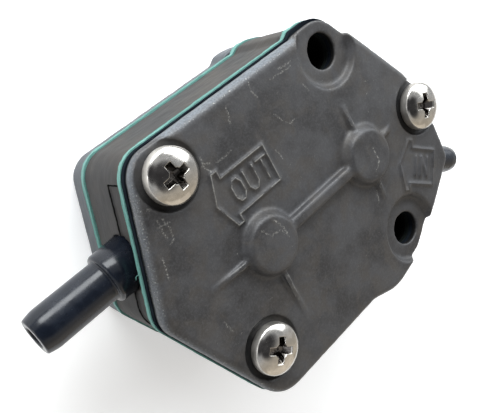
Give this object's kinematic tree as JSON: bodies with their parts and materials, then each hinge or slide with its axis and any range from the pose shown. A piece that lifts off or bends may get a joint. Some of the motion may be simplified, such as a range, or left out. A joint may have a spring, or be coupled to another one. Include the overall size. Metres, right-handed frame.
{
  "type": "diaphragm fuel pump",
  "caption": "Pulse-driven diaphragm fuel pump with a cast cover, green gaskets, two black hose nozzles and pan-head cover screws.",
  "frame": {"origin": "on the diaphragm axis at the rear mounting face", "axes": "+Z along the diaphragm axis towards the front cover, +X along the row of cover bosses away from the outlet nozzle"},
  "size_m": [0.0994, 0.0554, 0.0286],
  "materials": {
    "cover_casting": "as cast",
    "body_casting": "as cast",
    "rear_casting": "as cast",
    "gasket_green": "matte",
    "membrane_black": "matte",
    "seal_rubber": "matte",
    "nozzle_plastic": "gloss",
    "screw_steel": "polished",
    "core_steel": "satin",
    "valve_brass": "satin",
    "valve_plastic": "matte"
  },
  "bodies": {
    "housing": {"cover_screw_end": "screw_steel", "cover_screw_lower": "screw_steel", "cover_screw_upper": "screw_steel", "damper_membrane": "membrane_black", "diaphragm_spring": "core_steel", "front_cover": "cover_casting", "front_gasket": "gasket_green", "inlet_nozzle": "nozzle_plastic", "inlet_nozzle_seal": "seal_rubber", "inlet_valve_pin": "valve_brass", "inlet_valve_seat": "valve_brass", "inlet_valve_spring": "core_steel", "lock_washer_end": "screw_steel", "lock_washer_lower": "screw_steel", "lock_washer_upper": "screw_steel", "outlet_nozzle": "nozzle_plastic", "outlet_nozzle_seal": "seal_rubber", "outlet_valve_pin": "valve_brass", "outlet_valve_seat": "valve_brass", "outlet_valve_spring": "core_steel", "pulse_port_seal": "seal_rubber", "pump_body": "body_casting", "pump_diaphragm": "membrane_black", "rear_gasket": "gasket_green", "rear_plate": "rear_casting"},
    "diaphragm_core": {"diaphragm_plate_rear": "core_steel", "diaphragm_plate_front": "core_steel", "diaphragm_rivet": "core_steel"},
    "outlet_disc": {"outlet_valve_disc": "valve_plastic"},
    "inlet_disc": {"inlet_valve_disc": "valve_plastic"}
  },
  "joints": [
    {"name": "diaphragm_stroke", "type": "slide", "parent": "housing", "child": "diaphragm_core", "axis": [0, 0, 1], "range_m": [-0.0012, 0.0012], "stiffness_N_per_m": 600, "deforming": ["diaphragm_spring", "pump_diaphragm"]},
    {"name": "outlet_valve_lift", "type": "slide", "parent": "housing", "child": "outlet_disc", "axis": [0, 0, 1], "range_m": [0, 0.0007], "stiffness_N_per_m": 20, "deforming": ["outlet_valve_spring"]},
    {"name": "inlet_valve_lift", "type": "slide", "parent": "housing", "child": "inlet_disc", "axis": [0, 0, -1], "range_m": [0, 0.0007], "stiffness_N_per_m": 20, "deforming": ["inlet_valve_spring"]}
  ]
}
